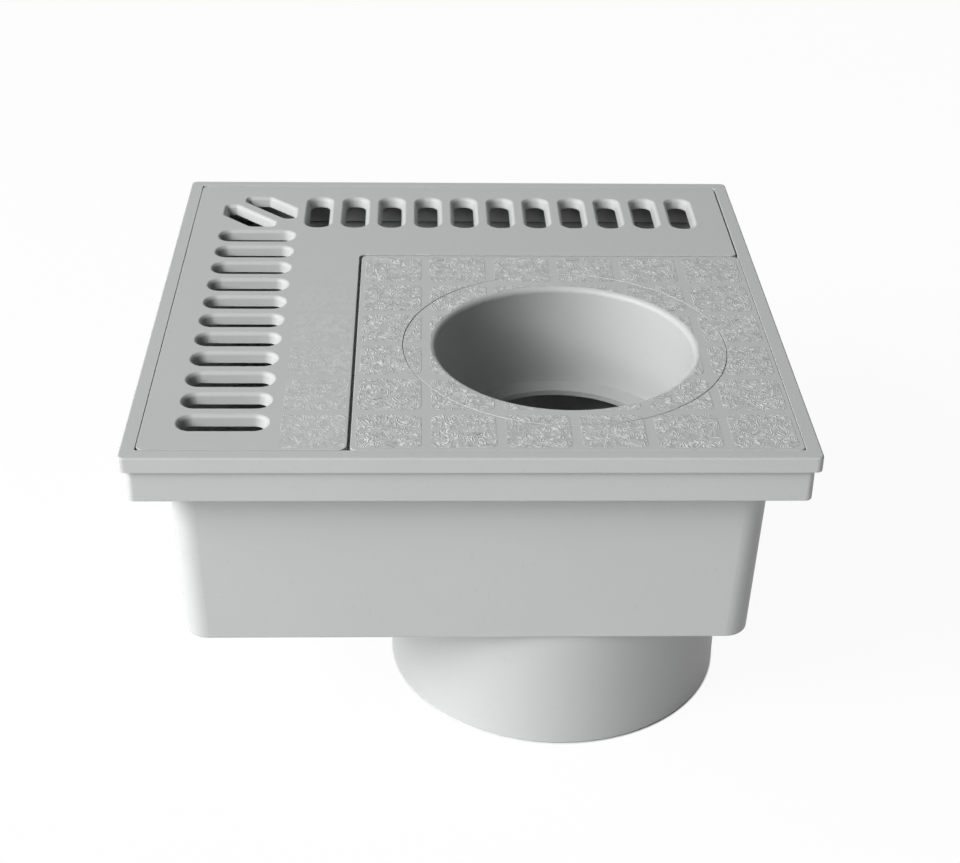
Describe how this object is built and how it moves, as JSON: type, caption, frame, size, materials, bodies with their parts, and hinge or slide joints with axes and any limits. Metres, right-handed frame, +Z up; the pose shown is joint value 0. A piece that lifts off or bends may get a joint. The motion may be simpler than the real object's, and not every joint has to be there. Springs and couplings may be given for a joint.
{
  "type": "gully trap",
  "caption": "Square floor gully with a water seal, a round outlet spigot, a lift-out L-shaped slotted grate and a tiled cover that takes a downpipe.",
  "frame": {"origin": "under the middle of the square frame, level with the end of the outlet spigot", "axes": "+Z up, along the outlet and the downpipe; +X right and +Y back as seen in the picture, square with the frame's sides; the cover is in the +X -Y corner"},
  "size_m": [0.2, 0.2, 0.116],
  "materials": {
    "gully_body": "smooth moulded plastic, light grey",
    "top_frame": "smooth moulded plastic, light grey",
    "corner_grate": "smooth moulded plastic, light grey",
    "downpipe_cover": "moulded plastic with finely grained tiles, light grey",
    "pipe_reducer": "moulded plastic with finely grained tiles, light grey",
    "trap_partition": "smooth moulded plastic, light grey"
  },
  "bodies": {
    "root": {"gully_body": "gully_body", "top_frame": "top_frame", "corner_grate": "corner_grate", "downpipe_cover": "downpipe_cover", "pipe_reducer": "pipe_reducer", "trap_partition": "trap_partition"}
  },
  "joints": []
}
